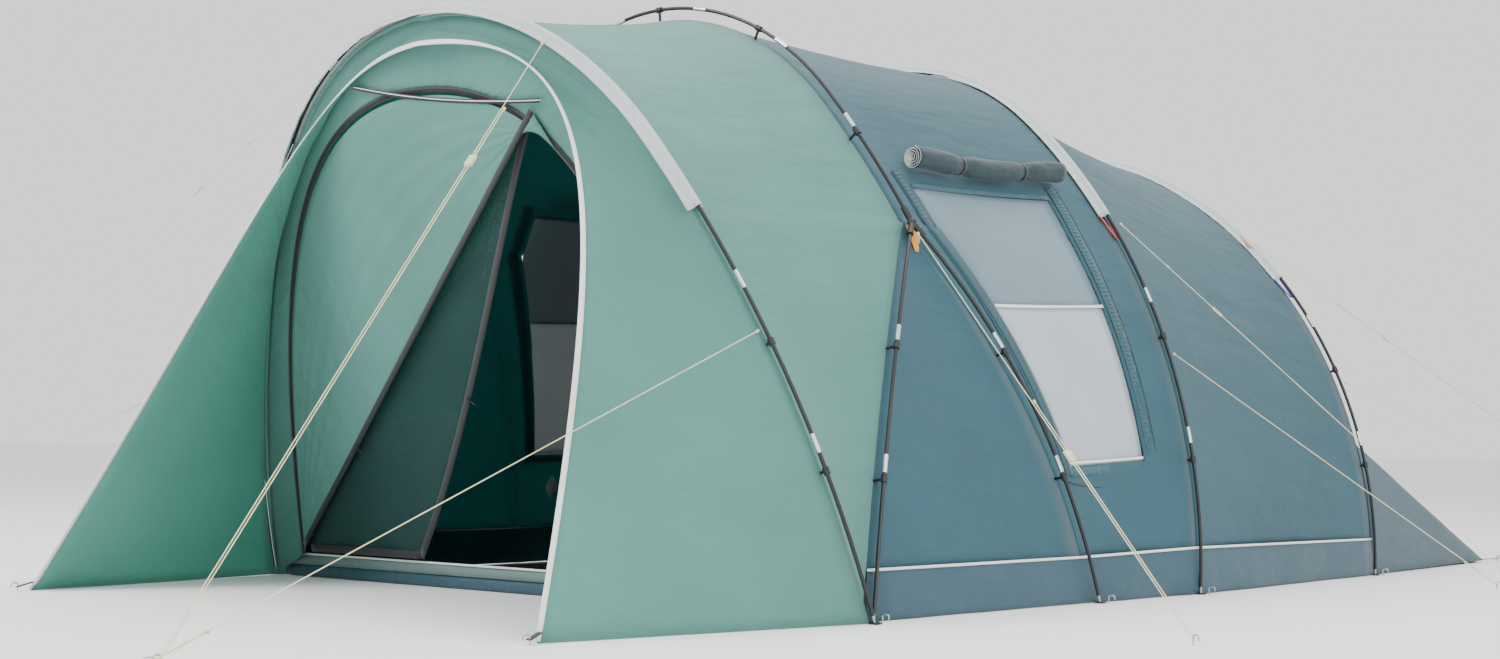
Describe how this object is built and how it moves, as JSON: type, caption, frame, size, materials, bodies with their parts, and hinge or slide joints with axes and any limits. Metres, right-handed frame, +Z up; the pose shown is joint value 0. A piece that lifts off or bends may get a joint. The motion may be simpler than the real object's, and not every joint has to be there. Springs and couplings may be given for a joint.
{
  "type": "tunnel tent",
  "caption": "Tunnel tent on jointed hoop poles with a leaning porch hood, doors, side windows with rolled curtains, guy lines and pegs.",
  "frame": {"origin": "on the ground, midway between the front and rear corner pegs, on the centre line", "axes": "+Z up, +Y from the porch to the rear, +X to the right seen from the porch looking in"},
  "size_m": [5.042, 7.248, 2.1253],
  "materials": {
    "pole": "satin black glass-fibre tube",
    "ferrule": "bright drawn sleeve",
    "hub_plastic": "moulded",
    "shock_cord": "braided",
    "webbing": "woven webbing",
    "fly_light": "coated polyester, plain weave",
    "fly_dark": "coated polyester, plain weave",
    "mud_flap": "coated polyester, plain weave",
    "mesh": "fine insect mesh",
    "zip_metal": "zip slider",
    "window_film": "clear film",
    "curtain": "rolled cloth",
    "sleeve": "pale woven sleeve",
    "clip_plastic": "moulded",
    "trim": "binding",
    "groundsheet": "woven polyethylene",
    "inner_cloth": "breathable cloth",
    "peg_steel": "round wire",
    "guy_cord": "braided cord",
    "runner_plastic": "moulded"
  },
  "bodies": {
    "tent": {"front_pole_sections": "pole", "mid_pole_sections": "pole", "third_pole_sections": "pole", "rear_pole_sections": "pole", "pole_ferrules": "ferrule", "pole_hubs": "hub_plastic", "shock_cords": "shock_cord", "pole_foot_pins": "ferrule", "foot_eyelets": "webbing", "porch_hood": "fly_light", "front_fly": "fly_light", "mid_fly": "fly_dark", "rear_fly": "fly_dark", "rear_wall": "fly_dark", "rear_skirt": "fly_dark", "mud_flaps": "mud_flap", "front_wall": "fly_light", "door_sill": "mud_flap", "window_panes": "window_film", "curtain_rolls": "curtain", "curtain_ties": "webbing", "pole_sleeves": "sleeve", "sleeve_webbing": "webbing", "pole_clips": "clip_plastic", "hood_trim": "trim", "reflective_piping": "trim", "groundsheet": "groundsheet", "inner_floor": "groundsheet", "inner_walls": "inner_cloth", "inner_front": "inner_cloth", "tent_pegs": "peg_steel", "guy_pegs": "peg_steel", "corner_straps": "webbing", "guy_front_upper_right": "guy_cord", "guy_front_upper_left": "guy_cord", "guy_front_mid_right": "guy_cord", "guy_front_mid_left": "guy_cord", "guy_hub_right": "guy_cord", "guy_hub_left": "guy_cord", "guy_third_upper_right": "guy_cord", "guy_third_upper_left": "guy_cord", "guy_third_mid_right": "guy_cord", "guy_third_mid_left": "guy_cord", "guy_rear_upper_right": "guy_cord", "guy_rear_upper_left": "guy_cord", "guy_rear_mid_right": "guy_cord", "guy_rear_mid_left": "guy_cord"},
    "outer_door": {"outer_door": "fly_light"},
    "mesh_door": {"mesh_door": "mesh"},
    "outer_door_zip": {"outer_door_slider": "zip_metal"},
    "mesh_door_zip": {"mesh_door_slider": "zip_metal"},
    "runner_front_upper_right": {"runner_front_upper_right": "runner_plastic"},
    "runner_front_upper_left": {"runner_front_upper_left": "runner_plastic"},
    "runner_hub_right": {"runner_hub_right": "runner_plastic"},
    "runner_hub_left": {"runner_hub_left": "runner_plastic"},
    "runner_third_upper_right": {"runner_third_upper_right": "runner_plastic"},
    "runner_third_upper_left": {"runner_third_upper_left": "runner_plastic"},
    "runner_rear_upper_right": {"runner_rear_upper_right": "runner_plastic"},
    "runner_rear_upper_left": {"runner_rear_upper_left": "runner_plastic"}
  },
  "joints": [
    {"name": "outer_door_hinge", "type": "hinge", "parent": "tent", "child": "outer_door", "pos_m": [-1.252, -1.91024, 0.11], "axis": [0.1801, -0.2567, 0.9496], "range_deg": [-22, 0]},
    {"name": "mesh_door_hinge", "type": "hinge", "parent": "tent", "child": "mesh_door", "pos_m": [-1.247, -1.88012, 0.104], "axis": [0.1783, -0.2568, 0.9499], "range_deg": [0, 42]},
    {"name": "outer_zip_slide", "type": "slide", "parent": "outer_door", "child": "outer_door_zip", "axis": [0.7366, -0.1765, 0.6528], "range_m": [-0.45, 1.5]},
    {"name": "mesh_zip_slide", "type": "slide", "parent": "mesh_door", "child": "mesh_door_zip", "axis": [0.4761, -0.2295, 0.8489], "range_m": [-0.08, 0.26]},
    {"name": "runner_front_upper_right_slide", "type": "slide", "parent": "tent", "child": "runner_front_upper_right", "axis": [0.2119, -0.6756, -0.7062], "range_m": [-0.2, 0.25]},
    {"name": "runner_front_upper_left_slide", "type": "slide", "parent": "tent", "child": "runner_front_upper_left", "axis": [-0.2119, -0.6756, -0.7062], "range_m": [-0.2, 0.25]},
    {"name": "runner_hub_right_slide", "type": "slide", "parent": "tent", "child": "runner_hub_right", "axis": [0.7125, -0.2689, -0.6481], "range_m": [-0.2, 0.25]},
    {"name": "runner_hub_left_slide", "type": "slide", "parent": "tent", "child": "runner_hub_left", "axis": [-0.7125, -0.2689, -0.6481], "range_m": [-0.2, 0.25]},
    {"name": "runner_third_upper_right_slide", "type": "slide", "parent": "tent", "child": "runner_third_upper_right", "axis": [0.6569, 0.3212, -0.6821], "range_m": [-0.2, 0.25]},
    {"name": "runner_third_upper_left_slide", "type": "slide", "parent": "tent", "child": "runner_third_upper_left", "axis": [-0.6569, 0.3212, -0.6821], "range_m": [-0.2, 0.25]},
    {"name": "runner_rear_upper_right_slide", "type": "slide", "parent": "tent", "child": "runner_rear_upper_right", "axis": [0.6559, 0.4692, -0.5914], "range_m": [-0.2, 0.25]},
    {"name": "runner_rear_upper_left_slide", "type": "slide", "parent": "tent", "child": "runner_rear_upper_left", "axis": [-0.6559, 0.4692, -0.5914], "range_m": [-0.2, 0.25]}
  ]
}
